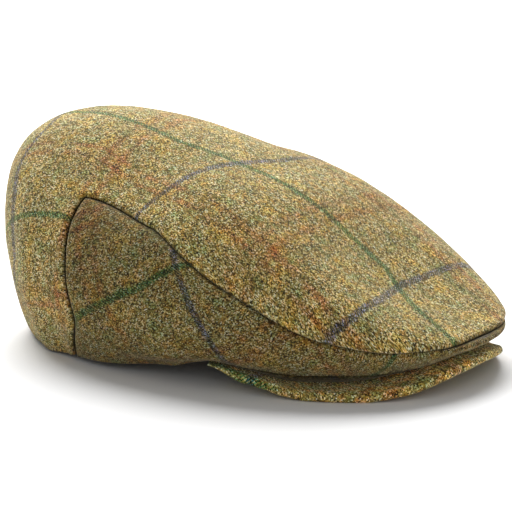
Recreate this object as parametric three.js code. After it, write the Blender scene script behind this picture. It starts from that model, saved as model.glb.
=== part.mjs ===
// Flat cap of tweed: a one-piece top panel, two side panels and a stiff peak under the front of the crown.
// Millimetres, +Z up. The peak points along +X, the wearer's left is +Y, and the cap rests on z = 0.
// All sections are laid out from the crown's widest section; the whole cap is centred at the end.
import * as THREE from 'three';

// Crown, measured over the cloth
const crownFront = 144;      // from the widest section to the front of the crown
const crownBack = 132;       // from the widest section to the back of the crown
const crownWidth = 194;      // across the widest section
const crownHeight = 118;     // from the table to the highest part of the back
const topLean = 34;          // how much the middle of the top drops from back to front
const clothWall = 2;         // cloth with its interlining
const seamGap = 0.5;         // clear gap between two panels along a seam
const seatGap = 0.6;         // clear gap between the crown and the peak under it
const underTurn = 14;        // how far the front strip is turned under, back over the peak

// Seams of a side panel, in degrees from the front round to the back
const apexAngle = 112;       // highest point of the panel
const hemSeamAngle = 113;    // foot of the standing seam
const seamBow = 5;           // how far the standing seam bows forward in between

// Peak
const peakThickness = 4;     // board with cloth on both faces
const peakLip = 9;           // how far the peak shows in front of the crown
const peakUnder = 52;        // how far it runs back under the crown, along the middle
const peakHalfAngle = 76;    // from the middle to a corner of the peak
const peakArch = 10.5;       // how much the tip stands higher than the sides of the peak
const peakPitch = 5;         // how much the back edge lies higher than the lip
const peakGap = 6;           // widest slot between the front strip and the peak

// Rings of the crown above the hem. Reaches are shares of crownFront, crownBack and half of crownWidth;
// heights are shares of crownHeight at the front, side and back of the ring. The ovals are squarer
// than an ellipse, whose exponent would be 2.
const HEM = { front: 0.9, back: 0.94, side: 0.87, squareFront: 2.2, squareBack: 2.2 };
const RINGS = [
  {
    name: 'band', front: 0.95, back: 0.99, side: 0.95,
    highFront: 0.16, highSide: 0.14, highBack: 0.15, squareFront: 2.2, squareBack: 2.2,
  },
  {
    name: 'bulge', front: 0.99, back: 1.03, side: 1.03,
    highFront: 0.19, highSide: 0.34, highBack: 0.46, squareFront: 2.15, squareBack: 2.2,
  },
  {
    name: 'shoulder', front: 0.87, back: 1.05, side: 0.94,
    highFront: 0.255, highSide: 0.57, highBack: 0.84, squareFront: 2, squareBack: 2.25,
  },
  {
    name: 'upper', front: 0.62, back: 0.84, side: 0.7,
    highFront: 0.39, highSide: 0.74, highBack: 1.01, squareFront: 2, squareBack: 2.2,
  },
];
const TOP = { front: 0.33, side: 0.38, high: 0.855 };

// Hem: over the peak it stands clear of it by a share of peakGap, and beyond the corners of the peak it
// keeps a share of that height and comes down to the table
const HEM_LINE = [
  { angle: 0, open: 0.02, keep: 1 },
  { angle: 15, open: 0.15, keep: 1 },
  { angle: 30, open: 0.8, keep: 1 },
  { angle: 50, open: 1, keep: 1 },
  { angle: peakHalfAngle, open: 0.05, keep: 1 },
  { angle: peakHalfAngle + 4, open: 0, keep: 0.8 },
  { angle: peakHalfAngle + 10, open: 0, keep: 0.4 },
  { angle: peakHalfAngle + 20, open: 0, keep: 0.28 },
  { angle: peakHalfAngle + 50, open: 0, keep: 0.12 },
  { angle: peakHalfAngle + 74, open: 0, keep: 0 },
  { angle: 180, open: 0, keep: 0 },
];

// Height of the top seam over the table, as a share of crownHeight
const TOP_SEAM = [
  { angle: 0, high: 0.21 },
  { angle: 30, high: 0.2 },
  { angle: 50, high: 0.255 },
  { angle: 70, high: 0.44 },
  { angle: 90, high: 0.635 },
  { angle: apexAngle, high: 0.71 },
];

// Height of the lower face of the lip, as a share of peakArch
const PEAK_LINE = [
  { angle: 0, high: 1 },
  { angle: 12, high: 0.84 },
  { angle: 30, high: 0.2 },
  { angle: 42, high: 0 },
  { angle: 54, high: 0 },
  { angle: 68, high: 0.5 },
  { angle: peakHalfAngle, high: 0.75 },
];

const radians = THREE.MathUtils.degToRad;
const degrees = THREE.MathUtils.radToDeg;
const lerp = THREE.MathUtils.lerp;

// Smooth reading of one column of a table at an angle, the same to the left and the right
function read(rows, column, angle) {
  const turned = Math.abs(degrees(Math.atan2(Math.sin(angle), Math.cos(angle))));
  const last = rows.length - 1;
  const at = Math.min(turned, rows[last].angle);
  let k = 0;
  while (k < last - 1 && rows[k + 1].angle <= at) k += 1;
  const rise = (i) => (rows[i + 1][column] - rows[i][column]) / (rows[i + 1].angle - rows[i].angle);
  const slope = (i) => {
    if (i === 0 || i === last || rise(i - 1) * rise(i) <= 0) return 0;
    return 2 * rise(i - 1) * rise(i) / (rise(i - 1) + rise(i));
  };
  const wide = rows[k + 1].angle - rows[k].angle;
  const t = (at - rows[k].angle) / wide;
  return rows[k][column] * (2 * t ** 3 - 3 * t ** 2 + 1) + slope(k) * wide * (t ** 3 - 2 * t ** 2 + t)
    + rows[k + 1][column] * (3 * t ** 2 - 2 * t ** 3) + slope(k + 1) * wide * (t ** 3 - t ** 2);
}

// Plan of a ring at an angle from the front: a rounded oval with its own reach in front and behind
function oval(ring, angle, height) {
  const c = Math.cos(angle);
  const s = Math.sin(angle);
  const power = 2 / (c > 0 ? ring.squareFront : ring.squareBack);
  const reach = c > 0 ? ring.front * crownFront : ring.back * crownBack;
  return new THREE.Vector3(
    reach * Math.sign(c) * Math.abs(c) ** power,
    ring.side * crownWidth / 2 * Math.sign(s) * Math.abs(s) ** power,
    height,
  );
}

function ringPoint(ring, angle) {
  const c = Math.cos(angle);
  const ends = c > 0 ? ring.highFront : ring.highBack;
  return oval(ring, angle, crownHeight * lerp(ring.highSide, ends, c * c));
}

// Height of a face of the peak, so far inward from the edge of its lip
function peakHeight(angle, inward, upperFace) {
  const pitch = peakPitch * inward / (peakLip + peakUnder);
  return peakArch * read(PEAK_LINE, 'high', angle) + pitch + (upperFace ? peakThickness : 0);
}

function hemPoint(angle) {
  const overPeak = peakHeight(angle, peakLip, true) + seatGap + peakGap * read(HEM_LINE, 'open', angle);
  return oval(HEM, angle, overPeak * read(HEM_LINE, 'keep', angle));
}

function topRingPoint(angle) {
  return new THREE.Vector3(
    TOP.front * crownFront * Math.cos(angle),
    TOP.side * crownWidth / 2 * Math.sin(angle),
    crownHeight * TOP.high - topLean / 2 * Math.cos(angle),
  );
}

const topPoint = new THREE.Vector3(0, 0, crownHeight * TOP.high);

// Outer face of the crown: an arch over the rings, climb 0 at the hem and 1 in the middle of the top.
// The arches are cubic B-splines that run on over the middle, so the top is smooth.
function crownPoint(angle, climb) {
  const hem = hemPoint(angle);
  const rings = RINGS.map((ring) => ringPoint(ring, angle));
  const below = hem.clone().multiplyScalar(2).sub(rings[0]);
  const controls = [below, hem, ...rings, topRingPoint(angle), topPoint, topRingPoint(angle + Math.PI)];
  const spans = controls.length - 3;
  const along = Math.min(Math.max(climb, 0), 1) * spans;
  const span = Math.min(Math.floor(along), spans - 1);
  const t = along - span;
  const weights = [
    (1 - t) ** 3,
    3 * t ** 3 - 6 * t ** 2 + 4,
    -3 * t ** 3 + 3 * t ** 2 + 3 * t + 1,
    t ** 3,
  ];
  const point = new THREE.Vector3();
  weights.forEach((weight, k) => point.addScaledVector(controls[span + k], weight / 6));
  return point;
}

// Climb at which the crown reaches the top seam, by halving
function seamClimb(angle) {
  const height = crownHeight * read(TOP_SEAM, 'high', angle);
  let low = 0;
  let high = 0.8;
  for (let step = 0; step < 30; step += 1) {
    const middle = (low + high) / 2;
    if (crownPoint(angle, middle).z < height) low = middle;
    else high = middle;
  }
  return (low + high) / 2;
}

// Unit normal of the crown, pointing out
function crownNormal(angle, climb) {
  const step = 0.002;
  const low = Math.min(Math.max(climb, step), 1 - step);
  const up = crownPoint(angle, low + step).sub(crownPoint(angle, low - step));
  const round = crownPoint(angle + step, low).sub(crownPoint(angle - step, low));
  return round.cross(up).normalize();
}

// Climb and angle moved along the cloth by a length
function climbBy(angle, climb, length) {
  const step = 0.002;
  return climb + length * step / crownPoint(angle, climb + step).distanceTo(crownPoint(angle, climb));
}

function turnBy(angle, climb, length) {
  const step = 0.002;
  return angle + length * step / crownPoint(angle + step, climb).distanceTo(crownPoint(angle, climb));
}

// A closed solid between an outer and an inner face with the same triangles
function closedSolid(outer, inner, triangles) {
  const count = outer.length;
  const index = [];
  const edges = new Map();
  triangles.forEach(([a, b, c]) => {
    index.push(a, b, c, a + count, c + count, b + count);
    [[a, b], [b, c], [c, a]].forEach(([p, q]) => edges.set(`${p},${q}`, [p, q]));
  });
  edges.forEach(([p, q]) => {
    if (!edges.has(`${q},${p}`)) index.push(p, p + count, q + count, p, q + count, q);
  });
  const geometry = new THREE.BufferGeometry();
  const positions = [...outer, ...inner].flatMap((point) => point.toArray());
  geometry.setAttribute('position', new THREE.Float32BufferAttribute(positions, 3));
  geometry.setIndex(index);
  geometry.computeVertexNormals();
  return geometry;
}

// A patch of the crown: rows of { angle, climb } become an outer face and an inner one a wall below it.
// The foot of the patch is cut level, so that it stands flat on the table.
class Patch {
  constructor() {
    this.outer = [];
    this.inner = [];
    this.triangles = [];
  }

  place(outer, inner) {
    this.outer.push(outer);
    this.inner.push(inner);
    return this.outer.length - 1;
  }

  onCrown(angle, climb) {
    const outer = crownPoint(angle, climb);
    const normal = crownNormal(angle, climb);
    if (climb > 0) return this.place(outer, outer.clone().addScaledVector(normal, -clothWall));
    return this.place(outer, outer.clone().addScaledVector(normal.setZ(0).normalize(), -clothWall));
  }

  // Triangles between two rows of the same length, seen from outside with the second row below the first
  join(upper, lower) {
    for (let i = 0; i < upper.length - 1; i += 1) {
      const [a, b, c, d] = [upper[i], lower[i], lower[i + 1], upper[i + 1]];
      this.triangles.push([a, b, c], [a, c, d]);
    }
  }

  solid() {
    return closedSolid(this.outer, this.inner, this.triangles);
  }
}

const sideColumns = 26;
const seamRows = 9;
const apex = radians(apexAngle);
const foot = radians(hemSeamAngle);
// Angle of the standing seam, so far down from its top
const standingSeam = (down) => lerp(apex, foot, down) - radians(seamBow) * Math.sin(Math.PI * down);
const turnsLeft = (from, to, count) => Array.from({ length: count + 1 }, (_, i) => lerp(from, to, i / count));

// Top panel: rings from the middle of the top out to the seams, then the back on down to the hem
function topPanel() {
  const patch = new Patch();
  const frontColumns = 2 * sideColumns;
  const backColumns = 32;
  const ringCount = 13;
  const half = seamGap / 2;
  const front = turnsLeft(-apex, apex, frontColumns);
  const back = turnsLeft(apex, 2 * Math.PI - apex, backColumns);
  const round = [...front, ...back.slice(1, -1)];
  const middle = patch.onCrown(0, 1);
  let ring = [];
  for (let row = 1; row <= ringCount; row += 1) {
    const next = round.map((angle) => {
      const edge = climbBy(angle, seamClimb(angle), Math.abs(angle) <= apex + 1e-9 ? half : 0);
      return patch.onCrown(angle, lerp(1, edge, row / ringCount));
    });
    if (row === 1) next.forEach((point, i) => patch.triangles.push([middle, point, next[(i + 1) % next.length]]));
    else patch.join([...ring, ring[0]], [...next, next[0]]);
    ring = next;
  }
  let above = [...ring.slice(frontColumns), ring[0]];
  const apexClimb = seamClimb(apex);
  for (let row = 1; row <= seamRows; row += 1) {
    const down = row / seamRows;
    const climb = lerp(apexClimb, 0, down);
    const edge = turnBy(standingSeam(down), climb, half);
    const next = turnsLeft(edge, 2 * Math.PI - edge, backColumns).map((angle) => patch.onCrown(angle, climb));
    patch.join(above, next);
    above = next;
  }
  return patch.solid();
}

// Side panel, left or right (side 1 or -1): rows from the top seam down to the hem, then the front strip
// turned under and back over the peak
function sidePanel(side) {
  const patch = new Patch();
  const columns = sideColumns;
  const half = seamGap / 2;
  const angleAt = (i, down) => {
    if (i === columns) return side * half / crownFront;
    const edge = standingSeam(down);
    if (i === 0) return side * turnBy(edge, lerp(seamClimb(apex), 0, down), -half);
    return side * lerp(edge, 0, i / columns);
  };
  const inOrder = (row) => (side > 0 ? [...row].reverse() : row);
  let above = [];
  for (let row = 0; row <= seamRows; row += 1) {
    const down = row / seamRows;
    const next = Array.from({ length: columns + 1 }, (_, i) => {
      const angle = angleAt(i, down);
      const top = climbBy(angle, seamClimb(angle), -half);
      return patch.onCrown(angle, top * (1 - down));
    });
    if (row > 0) patch.join(inOrder(above), inOrder(next));
    above = next;
  }
  const flap = turnUnder(patch, above, (i) => angleAt(i, 1));
  flap.reduce((upper, lower) => {
    patch.join(inOrder(upper), inOrder(lower));
    return lower;
  });
  return patch.solid();
}

// Rows of the under-turn, from the hem inward: its lower face comes down onto the peak
function turnUnder(patch, hem, angleAt) {
  const first = hem.findIndex((_, i) => Math.abs(angleAt(i)) < radians(peakHalfAngle - 2));
  const kept = hem.slice(first);
  const rows = [kept];
  [0.3, 1].forEach((share) => {
    rows.push(kept.map((_, k) => {
      const angle = angleAt(first + k);
      const inward = share * underTurn * Math.sqrt(peakTaper(angle));
      const edge = hemPoint(angle);
      const flat = edge.clone().setZ(0);
      const onPeak = peakHeight(angle, peakLip + inward, true) + seatGap;
      const lower = flat.addScaledVector(flat.clone().normalize(), -inward).setZ(lerp(edge.z, onPeak, share));
      return patch.place(lower, lower.clone().setZ(lower.z + clothWall));
    }));
  });
  return rows;
}

// How much of its full depth the peak has at an angle: all in the middle, nothing at the corners
function peakTaper(angle) {
  return Math.max(1 - (Math.abs(angle) / radians(peakHalfAngle)) ** 2.4, 0);
}

function peak() {
  const columns = 44;
  const across = [-1, -0.8, -0.6, -0.4, -0.2, 0];
  const lip = [0.45, 0.8, 0.93, 1];
  const roundEdge = { 0.8: 1, 0.93: 0.8, 1: 0.3 };
  const upper = [];
  const lower = [];
  const halfAngle = radians(peakHalfAngle);
  const shares = [...across, ...lip];
  for (let i = 0; i <= columns; i += 1) {
    const angle = lerp(-halfAngle, halfAngle, i / columns);
    const taper = peakTaper(angle);
    const hem = hemPoint(angle).setZ(0);
    const out = hem.clone().normalize();
    shares.forEach((share) => {
      const outward = share < 0 ? share * (peakUnder * taper + 1) : share * peakLip * (0.4 + 0.6 * Math.sqrt(taper));
      const point = hem.clone().addScaledVector(out, outward);
      const thin = (1 - (roundEdge[share] ?? 1)) * peakThickness / 2;
      upper.push(point.clone().setZ(peakHeight(angle, peakLip - outward, true) - thin));
      lower.push(point.clone().setZ(peakHeight(angle, peakLip - outward, false) + thin));
    });
  }
  const triangles = [];
  const at = (i, j) => i * shares.length + j;
  for (let i = 0; i < columns; i += 1) {
    for (let j = 0; j < shares.length - 1; j += 1) {
      triangles.push([at(i, j), at(i, j + 1), at(i + 1, j + 1)], [at(i, j), at(i + 1, j + 1), at(i + 1, j)]);
    }
  }
  return closedSolid(upper, lower, triangles);
}

const tweed = (color) => new THREE.MeshStandardMaterial({ color, roughness: 0.95, metalness: 0 });

const cap = new THREE.Group();
function add(name, geometry, color) {
  const mesh = new THREE.Mesh(geometry, tweed(color));
  mesh.name = name;
  cap.add(mesh);
}

add('top_panel', topPanel(), '#8f7c45');
add('side_panel_right', sidePanel(-1), '#7d6d3c');
add('side_panel_left', sidePanel(1), '#7d6d3c');
add('peak', peak(), '#786839');

// The origin is under the middle of the whole cap
const box = new THREE.Box3().setFromObject(cap);
cap.position.x = -(box.min.x + box.max.x) / 2;

export default cap;
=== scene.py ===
# %% [markdown]
# # A tweed flat cap
# The cap has one top panel that is drawn down over the back, two side panels that become a low strip at
# the front, and a short stiff peak. The exact solids come in with the frame. This lesson gives each one a
# finely modelled cloth skin, then a woven tweed with an overcheck, and soft studio light.

import math

import bpy
import numpy as np
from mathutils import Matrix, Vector, noise


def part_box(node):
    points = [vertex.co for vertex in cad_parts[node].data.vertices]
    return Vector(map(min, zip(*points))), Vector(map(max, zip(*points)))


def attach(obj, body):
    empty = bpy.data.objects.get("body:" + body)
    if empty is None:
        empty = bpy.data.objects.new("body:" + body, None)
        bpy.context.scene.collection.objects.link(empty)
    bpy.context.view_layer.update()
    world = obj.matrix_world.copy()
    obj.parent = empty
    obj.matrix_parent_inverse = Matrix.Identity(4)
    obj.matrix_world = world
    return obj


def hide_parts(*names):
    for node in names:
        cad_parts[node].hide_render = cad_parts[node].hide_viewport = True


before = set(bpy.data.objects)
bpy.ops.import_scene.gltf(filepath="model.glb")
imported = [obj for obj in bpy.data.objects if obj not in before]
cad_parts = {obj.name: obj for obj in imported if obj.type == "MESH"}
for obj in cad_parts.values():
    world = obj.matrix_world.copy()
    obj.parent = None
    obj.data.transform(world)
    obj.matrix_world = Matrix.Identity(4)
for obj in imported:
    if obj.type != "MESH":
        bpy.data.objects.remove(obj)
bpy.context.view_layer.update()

# %% [markdown]
# ## The shape of the cap
# The crown is a rounded dome whose sections change all the way round. It could be sculpted by hand, or
# lofted through drawn outlines. Here it is laid out by sizes, as a pattern cutter would: ovals at a few
# heights, joined from the hem to the middle of the top by smooth arches. These sizes come first.

# %% Sizes of the cap in metres
MM = 0.001
CROWN_FRONT, CROWN_BACK, CROWN_WIDTH, CROWN_HEIGHT = 144 * MM, 132 * MM, 194 * MM, 118 * MM
TOP_LEAN = 34 * MM
CLOTH_WALL = 2 * MM
# where the standing seams start on top and end at the hem, and how far they bow forward, in degrees
APEX_ANGLE, HEM_SEAM_ANGLE, SEAM_BOW = 112.0, 113.0, 5.0
PEAK_THICKNESS, PEAK_LIP, PEAK_UNDER = 4 * MM, 9 * MM, 52 * MM
PEAK_HALF_ANGLE = 76.0
PEAK_ARCH, PEAK_PITCH, PEAK_GAP, SEAT_GAP = 10.5 * MM, 5 * MM, 6 * MM, 0.6 * MM

# Each ring: reach in front, behind and to the side, height in front, at the side and behind, and how
# square it is in front and behind.
HEM = (0.90, 0.94, 0.87, 0, 0, 0, 2.2, 2.2)
RINGS = [
    (0.95, 0.99, 0.95, 0.16, 0.14, 0.15, 2.2, 2.2),
    (0.99, 1.03, 1.03, 0.19, 0.34, 0.46, 2.15, 2.2),
    (0.87, 1.05, 0.94, 0.255, 0.57, 0.84, 2.0, 2.25),
    (0.62, 0.84, 0.70, 0.39, 0.74, 1.01, 2.0, 2.2),
]
TOP_FRONT, TOP_SIDE, TOP_HIGH = 0.33, 0.38, 0.855

# The next tables start with the angle from the front in degrees. HEM_LINE goes on with the share of the
# gap that is left over the peak, and with how much of the peak's height the hem keeps.
HEM_LINE = [
    (0, 0.02, 1), (15, 0.15, 1), (30, 0.8, 1), (50, 1, 1), (76, 0.05, 1), (80, 0, 0.8),
    (86, 0, 0.4), (96, 0, 0.28), (126, 0, 0.12), (150, 0, 0), (180, 0, 0),
]
# the height of the top seam, as a share of the crown's
TOP_SEAM = [(0, 0.21), (30, 0.2), (50, 0.255), (70, 0.44), (90, 0.635), (112, 0.71)]
# how much of the peak's arch is there
PEAK_LINE = [(0, 1), (12, 0.84), (30, 0.2), (42, 0), (54, 0), (68, 0.5), (76, 0.75)]
crown_sizes = (CROWN_FRONT + CROWN_BACK, CROWN_WIDTH, CROWN_HEIGHT)
print("Length, width and height of the crown in mm:", [round(size / MM) for size in crown_sizes])

# %% [markdown]
# A table gives values at a few angles only. Straight lines between them would leave creases in the
# cloth, and a loose spline would swing past the values. A slope that never overshoots avoids both.

# %% Read a table smoothly
def read(rows, column, angle):
    """One column of a table at angles in radians, smooth and the same to the left and the right."""
    at = np.array([row[0] for row in rows], float)
    value = np.array([row[column] for row in rows], float)
    turned = np.abs(np.degrees(np.arctan2(np.sin(angle), np.cos(angle)))).clip(0, at[-1])
    wide = np.diff(at)
    rise = np.diff(value) / wide
    slope = np.zeros(len(at))
    both = rise[:-1] * rise[1:] > 0
    slope[1:-1][both] = 2 * (rise[:-1] * rise[1:])[both] / (rise[:-1] + rise[1:])[both]
    k = np.clip(np.searchsorted(at, turned, side="right") - 1, 0, len(at) - 2)
    t = (turned - at[k]) / wide[k]
    blend = value[k] * (2 * t**3 - 3 * t**2 + 1) + value[k + 1] * (3 * t**2 - 2 * t**3)
    return blend + wide[k] * (slope[k] * (t**3 - 2 * t**2 + t) + slope[k + 1] * (t**3 - t**2))


print("Height of the top seam above the ear, as a share:", round(float(read(TOP_SEAM, 1, math.pi / 2)), 3))

# %% [markdown]
# Every ring of the crown is a squarish oval with its own reach in front, behind and to the side. The
# lowest one is the hem, which lies on the peak in front and on the table behind.

# %% Rings of the crown
def oval(ring, angle, height):
    """Points of a squarish oval at the given angles."""
    c, s = np.cos(angle), np.sin(angle)
    power = 2 / np.where(c > 0, ring[6], ring[7])
    reach = np.where(c > 0, ring[0] * CROWN_FRONT, ring[1] * CROWN_BACK)
    x = reach * np.sign(c) * np.abs(c) ** power
    y = ring[2] * CROWN_WIDTH / 2 * np.sign(s) * np.abs(s) ** power
    return np.stack([x, y, height], -1)


def peak_height(angle, inward, upper_face):
    """Height of a face of the peak, so far inward from the edge of its lip."""
    pitch = PEAK_PITCH * inward / (PEAK_LIP + PEAK_UNDER)
    return PEAK_ARCH * read(PEAK_LINE, 1, angle) + pitch + (PEAK_THICKNESS if upper_face else 0)


def hem_point(angle):
    """Point of the hem, which stands on the peak in front."""
    over_peak = peak_height(angle, PEAK_LIP, True) + SEAT_GAP + PEAK_GAP * read(HEM_LINE, 1, angle)
    return oval(HEM, angle, over_peak * read(HEM_LINE, 2, angle))


def ring_point(ring, angle):
    """Point of one of the rings between the hem and the top."""
    c = np.cos(angle)
    ends = np.where(c > 0, ring[3], ring[5])
    return oval(ring, angle, CROWN_HEIGHT * (ring[4] + (ends - ring[4]) * c**2))


def top_ring(angle):
    """Point of the uppermost ring, which leans forward."""
    x = TOP_FRONT * CROWN_FRONT * np.cos(angle)
    y = TOP_SIDE * CROWN_WIDTH / 2 * np.sin(angle)
    return np.stack([x, y, CROWN_HEIGHT * TOP_HIGH - TOP_LEAN / 2 * np.cos(angle)], -1)


print("Hem in front, at the side and behind:", hem_point(np.radians([0.0, 90.0, 180.0])).round(4).tolist())

# %% [markdown]
# The arches are uniform cubic B-splines over the rings. Such a curve stays inside its rings and has no
# kink, so the dome comes out taut. The seam between top and sides has its own height at each angle, and
# where the crown reaches that height is found by halving.

# %% Surface of the crown
# the seam is looked for up to this climb, by so many halvings
SEARCH_TO, HALVINGS = 0.8, 26


def crown(angle, climb):
    """Outer face of the crown, climb 0 at the hem and 1 in the middle of the top."""
    angle, climb = np.broadcast_arrays(np.asarray(angle, float), np.asarray(climb, float))
    rings = [hem_point(angle)] + [ring_point(ring, angle) for ring in RINGS]
    middle = np.broadcast_to(np.array([0, 0, CROWN_HEIGHT * TOP_HIGH]), rings[0].shape)
    controls = [2 * rings[0] - rings[1]] + rings + [top_ring(angle), middle, top_ring(angle + math.pi)]
    spans = len(controls) - 3
    along = climb.clip(0, 1) * spans
    span = np.minimum(np.floor(along), spans - 1)
    t = along - span
    weights = [(1 - t) ** 3, 3 * t**3 - 6 * t**2 + 4, -3 * t**3 + 3 * t**2 + 3 * t + 1, t**3]
    point = np.zeros(rings[0].shape)
    for k, control in enumerate(controls):
        for j, weight in enumerate(weights):
            point += np.where(span == k - j, weight / 6, 0)[..., None] * control
    return point


def seam_climb(angle):
    """Climb at which the crown reaches the top seam, by halving."""
    height = CROWN_HEIGHT * read(TOP_SEAM, 1, angle)
    low, high = np.zeros(np.shape(angle)), np.full(np.shape(angle), SEARCH_TO)
    for _ in range(HALVINGS):
        middle = (low + high) / 2
        under = crown(angle, middle)[..., 2] < height
        low, high = np.where(under, middle, low), np.where(under, high, middle)
    return (low + high) / 2


probe = crown(np.radians([0.0, 90.0, 180.0]), np.array([0.3, 0.3, 0.3]))
print("Points on the crown in front, at the side and behind:", probe.round(4).tolist())

# %% [markdown]
# The solids were centred on their own box after they were laid out, so the whole cap was moved along X.
# The same shift comes from the frame itself: the back of the top panel there, against the back here.

# %% Where the cap stands in the frame
back_reach = crown(math.pi, np.linspace(0, 1, 400))[:, 0].min()
SHIFT = float(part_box("top_panel")[0][0]) - back_reach
print("Shift of the cap along X:", round(SHIFT, 5))

# %% [markdown] ## Coordinates for the cloth Cloth needs its own coordinates before it can be woven.
# Tweed has threads along and across the cap, so each point gets its distance along the cap and its
# distance across it, both measured on the surface. Walking over cross-sections keeps its size.

# %% Walk over the cross-sections
SECTION_BACK, SECTION_FRONT, SECTIONS = -138.5 * MM, 143.5 * MM, 190
section_x = np.linspace(SECTION_BACK, SECTION_FRONT, SECTIONS)
walk_climb = np.linspace(1, 0, 181)
half_turn = np.linspace(0, math.pi, 361)
section = np.full((len(walk_climb), len(section_x), 2), np.nan)
for row, climb in enumerate(walk_climb):
    ring = crown(half_turn, climb)
    order = np.argsort(ring[:, 0])
    for k in (0, 1):
        section[row, :, k] = np.interp(
            section_x, ring[order, 0], ring[order, k + 1], left=np.nan, right=np.nan
        )
step = np.linalg.norm(np.diff(section, axis=0), axis=2)
first = np.isnan(section[:-1, :, 0]) & ~np.isnan(section[1:, :, 0])
step = np.where(first, section[1:, :, 0], step)
ACROSS = np.nancumsum(np.vstack([section[:1, :, 0], step]), axis=0)
print("Way down a side, from the middle line:", round(float(ACROSS[-1, SECTIONS // 2]), 3))

# %% [markdown]
# The distance along the cap is walked on its middle line: forward to the front edge, and back and down
# to the hem. Behind, where the cloth turns down, distances are measured from the top downwards instead.

# %% Walk along the middle line
front_line, back_line = crown(0.0, walk_climb), crown(math.pi, walk_climb)


def walked(line):
    """Way along a row of points, from its first one."""
    return np.concatenate([[0], np.cumsum(np.linalg.norm(np.diff(line, axis=0), axis=1))])


front_walk, back_walk = walked(front_line), walked(back_line)
front_end, back_end = front_line[:, 0].argmax(), back_line[:, 0].argmin()
along_x = np.concatenate([back_line[: back_end + 1, 0][::-1], front_line[1 : front_end + 1, 0]])
along_s = np.concatenate([-back_walk[: back_end + 1][::-1], front_walk[1 : front_end + 1]])
print("Way over the crown from back to front:", round(float(along_s[-1] - along_s[0]), 3))

# %% [markdown]
# Now both distances can be looked up for any point of the top cloth, and blended where it turns down.

# %% Place of a point in the top cloth
# beside the middle line the plain distance from it counts, and further out the one that was walked
FLAT_WIDTH, WALKED_WIDTH = 8 * MM, 22 * MM
# angles in degrees between which the cloth changes from lying on top to hanging down the back
TURN_STARTS, TURN_ENDS = 140, 168


def smooth(value, low, high):
    """0 below low, 1 above high, and an even rise between them."""
    t = np.clip((value - low) / (high - low), 0, 1)
    return t * t * (3 - 2 * t)


def top_cloth_at(angle, climb, point):
    """Distance along and across the top cloth. Behind, the cloth turns down over the back."""
    x = np.clip(point[:, 0], section_x[0], section_x[-1])
    row = (1 - climb) * (len(walk_climb) - 1)
    column = (x - section_x[0]) / (section_x[1] - section_x[0])
    r = np.floor(row).astype(int).clip(0, len(walk_climb) - 2)
    c = np.floor(column).astype(int).clip(0, SECTIONS - 2)
    fr, fc = row - r, column - c
    across = ACROSS[r, c] * (1 - fr) * (1 - fc) + ACROSS[r + 1, c] * fr * (1 - fc)
    across += ACROSS[r, c + 1] * (1 - fr) * fc + ACROSS[r + 1, c + 1] * fr * fc
    # near the middle line the cloth lies flat, and plain distance from that line is exact enough
    off_middle = np.abs(point[:, 1])
    away = smooth(off_middle, FLAT_WIDTH, WALKED_WIDTH)
    across = off_middle * (1 - away) + across * away
    side = np.sign(np.sin(angle))
    along = np.interp(point[:, 0], along_x, along_s)
    behind_along = -np.interp(1 - climb, 1 - walk_climb, back_walk)
    turned = np.abs(np.degrees(np.arctan2(np.sin(angle), np.cos(angle))))
    behind = smooth(turned, TURN_STARTS, TURN_ENDS)
    s = along * (1 - behind) + behind_along * behind
    w = side * across * (1 - behind) + point[:, 1] * behind
    return s, w


ear_angle, ear_climb = np.array([math.pi / 2]), np.array([0.7])
ear_place = top_cloth_at(ear_angle, ear_climb, crown(ear_angle, ear_climb))
print("Above the ear the top cloth is at", [round(float(way[0]), 3) for way in ear_place])

# %% [markdown] Steam and hands pull cloth over a crown, so the lines of the check drift a little from
# where plain distances would put them. Short tables say where three of the lines that run front to back
# lie, and how far the crosswise blue lines lean.

CHECK_REPEAT = 108 * MM
# distance along the cloth, then where the green line, the rust pair and the next green line lie, in mm
LINES_ACROSS = [
    (-110, -14, -50, -93),
    (-60, -20, -50, -93),
    (-26, -25, -62, -100),
    (20, -14, -66, -108),
    (60, -9, -69, -118),
    (100, -5, -73, -120),
    (130, -18, -76, -122),
    (155, -24, -80, -124),
]
BLUE_AT = 5 * MM
# distance across the cloth, then how far a blue line leans forward there, in mm, for the blue line over
# the back, the one over the middle and the one at the front
BLUE_LEANS = (
    [(-140, -7), (-129, 0), (-112, 7), (-90, 1), (-72, -3), (-55, -10), (-40, -12), (0, -14), (60, -10)],
    [(-160, -24), (-83, -24), (-63, -12), (-49, -7), (-32, -1), (-10, 4), (12, 10), (60, 12), (160, 12)],
    [(-90, -4), (-79, -2), (-63, 4), (-39, 4), (-6, -2), (30, 0), (60, 2)],
)


def top_check_at(s, w):
    table = np.array(LINES_ACROSS) * MM
    green, pair, beyond = (np.interp(s, table[:, 0], table[:, k]) for k in (1, 2, 3))
    half = CHECK_REPEAT / 2
    inner = -half * (green - w) / (green - pair)
    outer = -half - half * (pair - w) / (pair - beyond)
    across = np.where(w > green, w - green, np.where(w > pair, inner, outer))
    along = s.copy()
    for turn, leans in enumerate(BLUE_LEANS):
        lean = np.array(leans) * MM
        from_line = np.abs(s - BLUE_AT - (turn - 1) * CHECK_REPEAT)
        along -= np.interp(w, lean[:, 0], lean[:, 1]) * (1 - smooth(from_line, 0, half))
    return along, across


print("Lines placed by hand:", len(LINES_ACROSS[0]) - 1, "along the cap and", len(BLUE_LEANS), "across it")

# %% [markdown]
# ## Helpers for cloth meshes
# Each cloth starts as a grid of points on the crown, joined by faces with four corners. Real cloth is
# never quite smooth: it has slow waves, and it rises and falls beside a seam. Both are small moves of
# the points along their normals, so that they need no simulation and come out the same each time.

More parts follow.
